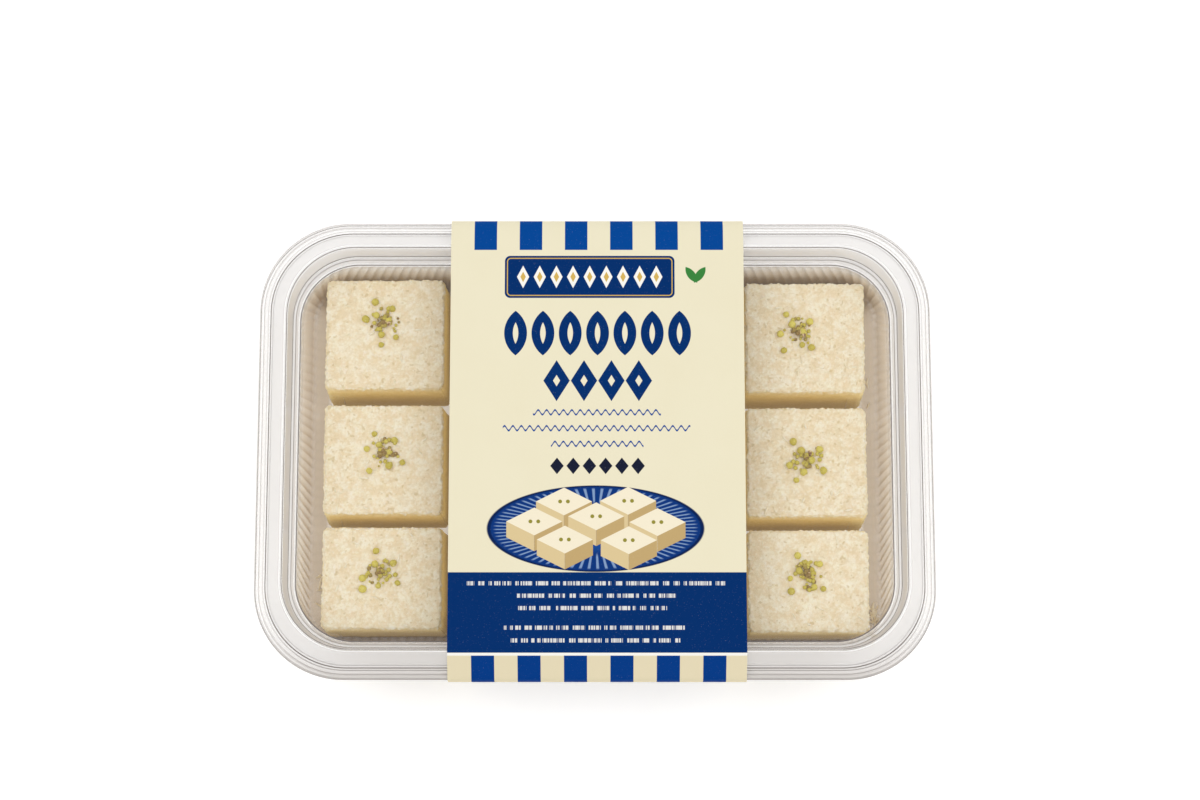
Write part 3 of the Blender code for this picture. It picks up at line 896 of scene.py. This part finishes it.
def inside(distance):
    """1 where a signed distance in millimetres is under 0, with a soft edge of a print dot's width."""
    return distance.rises(BLUR, -BLUR)


def plate_shape(x, y, half_x, half_y, corner):
    """Signed distance to a rounded rectangle: the length of what lies outside its core, less the corner."""
    over_x = (abs(x) - (half_x - corner)).at_least(0.0)
    over_y = (abs(y) - (half_y - corner)).at_least(0.0)
    return (over_x * over_x + over_y * over_y) ** 0.5 - corner


def petal_shape(x, y, half_x, half_y):
    """Signed distance to a petal: the overlap of two equal circles, each shifted sideways by one length."""
    shift = (half_y**2 - half_x**2) / (2 * half_x)
    side = abs(x) + shift
    return (side * side + y * y) ** 0.5 - (half_x + shift)


def lozenge_shape(x, y, half_x, half_y):
    """Signed distance, nearly, to a lozenge: |x| over its half width plus |y| over its half height."""
    return (abs(x) / half_x + abs(y) / half_y - 1) * (half_x * half_y / math.hypot(half_x, half_y))


def repeat(x, first, pitch, count):
    """The distance from the nearest of a row of evenly spaced middles, and a mask of the row's length."""
    local = (x - (first - pitch / 2)) % pitch - pitch / 2
    middle, half = first + pitch * (count - 1) / 2, pitch * count / 2
    return local, abs(x - middle).rises(half + BLUR, half - BLUR)


print_finish, root = new_finish("printed_card_finish")
u, v, _ = root.node("UVMap", {"uv_map": "print"}).split()
u, v = u * 1000, v * 1000
place = root.node("TexCoord", output=3)
fibre = place.mottle(2600, 3.0)
paper = place.mottle(60, 2.0).blend(rgb(236, 228, 198), rgb(239, 232, 204))
# painted shade: the card is a darker cream where it turns down in front of the crease
paper = v.rises(-64.4, -65.4).blend(paper, rgb(231, 219, 186))

# bars along both ends of the top, bent down over the rim
bar_x, bar_row = repeat(u, -34.2, 14.15, 6)
bars = inside(abs(bar_x) - 3.52) * bar_row
bars = bars * inside(v - 106) * inside(-104 - v)
art = (bars * v.rises(61.9, 62.1)).blend(paper, blue)
# painted shade: the front bars are a darker blue than the back ones, on the card's turned-down front
art = (bars * v.rises(-64.7, -64.9)).blend(art, rgb(0, 58, 134))

# a plate with a gold line and nine lozenges, and two leaves beside it
art = inside(plate_shape(u + 1.65, v - 53.35, 26.5, 6.75, 1.7)).blend(art, navy)
keyline = abs(plate_shape(u + 1.65, v - 53.35, 25.7, 5.95, 1.1)) - 0.16
art = inside(keyline).blend(art, gold)
stud_x, stud_row = repeat(u, -22.45, 5.2, 9)
art = (inside(lozenge_shape(stud_x, v - 53.35, 1.9, 3.6)) * stud_row).blend(art, white)
art = (inside(lozenge_shape(stud_x, v - 53.35, 0.85, 1.7)) * stud_row).blend(art, gold)

for tilt, aside in ((0.62, 1.3), (-0.62, -1.3)):
    x, y = u - 31.4 - aside, v - 54.0
    turned_x = x * math.cos(tilt) - y * math.sin(tilt)
    turned_y = x * math.sin(tilt) + y * math.cos(tilt)
    art = inside(petal_shape(turned_x, turned_y, 1.25, 3.1)).blend(art, leaf)

# a row of petals, a row of lozenges, three zigzag lines and a row of small lozenges
petal_x, petal_row = repeat(u, -24.7, 8.5, 7)
art = (inside(petal_shape(petal_x, v - 35.4, 3.55, 7.1)) * petal_row).blend(art, navy)
art = (inside(petal_shape(petal_x, v - 35.4, 0.85, 3.4)) * petal_row).blend(art, cream)
diamond_x, diamond_row = repeat(u, -11.9, 8.5, 4)
art = (inside(lozenge_shape(diamond_x, v - 20.3, 4.1, 6.5)) * diamond_row).blend(art, navy)
art = (inside(lozenge_shape(diamond_x, v - 20.3, 1.1, 1.8)) * diamond_row).blend(art, cream)

for middle, half_row, level in ((0.6, 19.8, 10.3), (0.5, 29.0, 5.3), (0.7, 14.3, 0.4)):
    wave = root.math("SINE", u * (2 * math.pi / 2.6)) * 0.72
    line = (abs(v - wave - level) - 0.30).rises(0.14, -0.14)
    art = (line * inside(abs(u - middle) - half_row)).blend(art, blue)
stud_x, stud_row = repeat(u, -11.7, 5.0, 6)
art = (inside(lozenge_shape(stud_x, v + 6.5, 2.1, 2.6)) * stud_row).blend(art, ink)

# an oval with rays, and seven simple blocks on it, each a lozenge over two slanted sides
OVAL_HALF_X, OVAL_HALF_Y, RAYS = 33.4, 13.4, 72
TOP_HALF_X, TOP_HALF_Y, BLOCK_TALL = 8.6, 4.3, 4.9
BLOCKS = (
    (-9.5, -17.6), (10.2, -17.4), (-18.6, -23.8), (0.4, -22.2), (19.2, -24.0), (-9.2, -29.4), (10.4, -29.6),
)
x, y = (u - 0.2) / OVAL_HALF_X, (v + 26.0) / OVAL_HALF_Y
reach = (x * x + y * y) ** 0.5
turn = root.math("ARCTAN2", y, x)
rays = root.math("SINE", turn * RAYS).rises(0.2, 0.9) * reach.rises(0.55, 0.66) * reach.rises(0.95, 0.90)
oval = reach.rises(0.40, 0.62).blend(rgb(24, 74, 148), rgb(10, 54, 124))
oval = (rays * 0.75).blend(oval, rgb(150, 178, 214))
oval = reach.rises(0.955, 0.975).blend(oval, rgb(6, 34, 84))
art = ((reach - 1) * OVAL_HALF_Y).rises(0.12, -0.12).blend(art, oval)
for block_x, block_y in BLOCKS:
    x, y = u - block_x, v - block_y
    slope = (1 - abs(x) / TOP_HALF_X) * TOP_HALF_Y
    sides = inside(overlap(abs(x) - TOP_HALF_X, y - slope, -BLOCK_TALL - y - slope))
    art = (sides * x.rises(0.12, -0.12)).blend(art, rgb(222, 200, 152))
    art = (sides * x.rises(-0.12, 0.12)).blend(art, rgb(196, 168, 116))
    art = inside(lozenge_shape(x, y, TOP_HALF_X, TOP_HALF_Y)).blend(art, rgb(246, 236, 210))
    dots_x = abs(x) - 1.2
    art = inside((dots_x * dots_x + y * y) ** 0.5 - 0.6).blend(art, rgb(150, 142, 60))

# a navy field with five rows of pale dashes of uneven length
DASH_ROWS = (
    # left end, right end and height on the card
    (-39.2, 39.8, -42.9), (-23.8, 24.8, -46.7), (-24.6, 22.0, -50.5), (-27.8, 27.6, -56.5),
    (-25.6, 26.0, -60.4),
)
art = (v.rises(-39.42, -39.58) * v.rises(-64.2, -64.0)).blend(art, navy)
for number, (low, high, level) in enumerate(DASH_ROWS):
    beat = {"noise_dimensions": "1D"}
    runs = root.node("TexNoise", beat, {"W": u * 0.62 + 31.7 * number, "Scale": 1.0, "Detail": 0.0})
    marks = root.node("TexNoise", beat, {"W": u * 2.6 + 17.3 * number, "Scale": 1.0, "Detail": 0.0})
    dashes = runs.rises(0.40, 0.46) * marks.rises(0.36, 0.46)
    dashes = dashes * inside(abs(v - level) - 0.62) * inside(abs(u - (low + high) / 2) - (high - low) / 2)
    art = (dashes * 0.8).blend(art, white)

# a white line where the field meets the front bars, and the card's own fibres
art = (v.rises(-64.05, -64.15) * v.rises(-64.95, -64.75)).blend(art, white)
art = (fibre.rises(0.62, 0.8) * 0.10).blend(art, white)
paper_bump = root.node("Bump", None, {"Strength": 0.12, "Distance": 0.0002, "Height": fibre})
shader = root.node("BsdfPrincipled", None, {
    "Base Color": art, "Roughness": 0.55, "Normal": paper_bump, "Specular IOR Level": 0.04,
})
root.node("OutputMaterial", None, {0: shader})


def board_finish(name, light, dark):
    """Uncoated board: pale pulp with fine darker fibres."""
    material, root = new_finish(name)
    pulp = root.node("TexCoord", output=3).mottle(3200, 4.0)
    color = pulp.rises(0.3, 0.7).blend(dark, light)
    bump = root.node("Bump", None, {"Strength": 0.2, "Distance": 0.0001, "Height": pulp})
    shader = root.node("BsdfPrincipled", None, {"Base Color": color, "Roughness": 0.85, "Normal": bump})
    root.node("OutputMaterial", None, {0: shader})
    return material


cut_finish = board_finish("card_cut_edge", rgb(250, 247, 238), rgb(232, 226, 212))
back_finish = board_finish("card_back", rgb(232, 228, 218), rgb(214, 208, 196))
sleeve_path = smooth_path(SLEEVE_BENDS, PATH_STEP)[:-1]
verts, quads, kinds, uv = card_band(sleeve_path, SLEEVE_HALF_WIDTH, SLEEVE_MIDDLE, CARD_COLUMNS)
sleeve = new_piece("card_sleeve", verts * MM, quads, print_finish)
sleeve.data.materials.append(cut_finish)
sleeve.data.materials.append(back_finish)
sleeve.data.polygons.foreach_set("material_index", kinds.astype(np.int32))
sleeve.data.uv_layers.new(name="print").data.foreach_set("uv", (uv * MM).ravel())
sleeve.data.set_sharp_from_angle(angle=math.radians(40))
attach(sleeve, "root")
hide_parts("sleeve")
